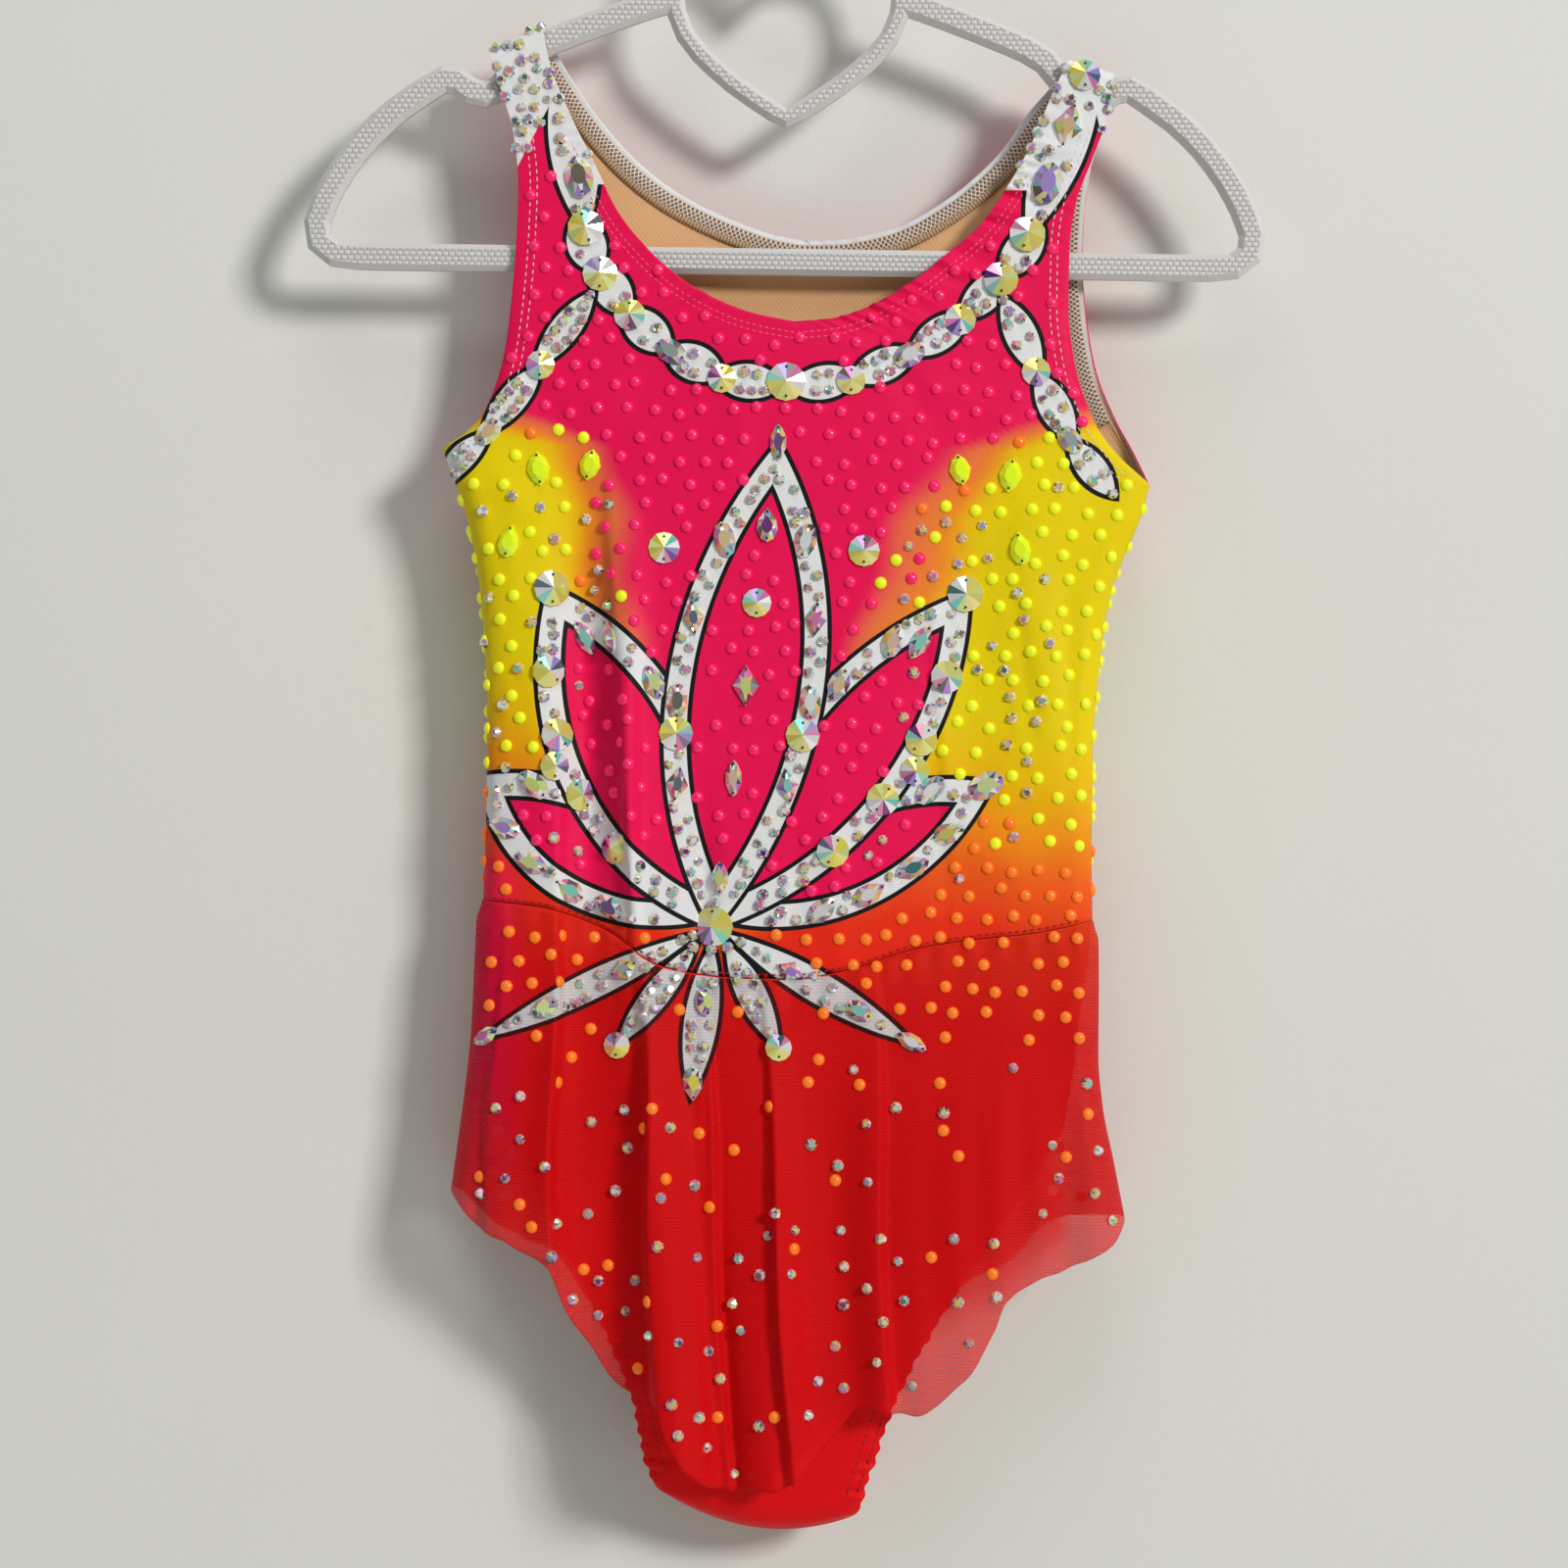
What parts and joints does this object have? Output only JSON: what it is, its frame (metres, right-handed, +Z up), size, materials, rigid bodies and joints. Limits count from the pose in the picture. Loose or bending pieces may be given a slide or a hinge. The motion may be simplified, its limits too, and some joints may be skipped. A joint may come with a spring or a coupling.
{
  "type": "rhythmic gymnastics leotard on a heart-shaped hanger",
  "caption": "sleeveless rhythmic gymnastics leotard with a sheer skirt and sewn-on stones, hung flat on a plastic hanger with a heart below its hook",
  "frame": {"origin": "top of the inside of the hook's loop, where the hanger is held", "axes": "+Z up, the front of the leotard faces -Y, +X is to the right as seen from the front"},
  "size_m": [0.3986, 0.0536, 0.7274],
  "materials": {
    "bodice_front": "glossy stretch knit",
    "bodice_back": "glossy stretch knit",
    "back_lining": "fine nude knit",
    "neck_elastic": "nude elastic under zigzag stitches",
    "armhole_elastic_left": "nude elastic under zigzag stitches",
    "armhole_elastic_right": "nude elastic under zigzag stitches",
    "skirt_front": "sheer mesh",
    "skirt_back": "sheer mesh",
    "brief_front": "glossy stretch knit",
    "brief_back": "glossy stretch knit",
    "leg_elastic_left": "covered elastic",
    "leg_elastic_right": "covered elastic",
    "hanger": "fine studded grain"
  },
  "bodies": {
    "root": {"bodice_front": "bodice_front", "bodice_back": "bodice_back", "back_lining": "back_lining", "neck_elastic": "neck_elastic", "armhole_elastic_left": "armhole_elastic_left", "armhole_elastic_right": "armhole_elastic_right", "skirt_front": "skirt_front", "skirt_back": "skirt_back", "brief_front": "brief_front", "brief_back": "brief_back", "leg_elastic_left": "leg_elastic_left", "leg_elastic_right": "leg_elastic_right", "hanger": "hanger"}
  },
  "joints": []
}
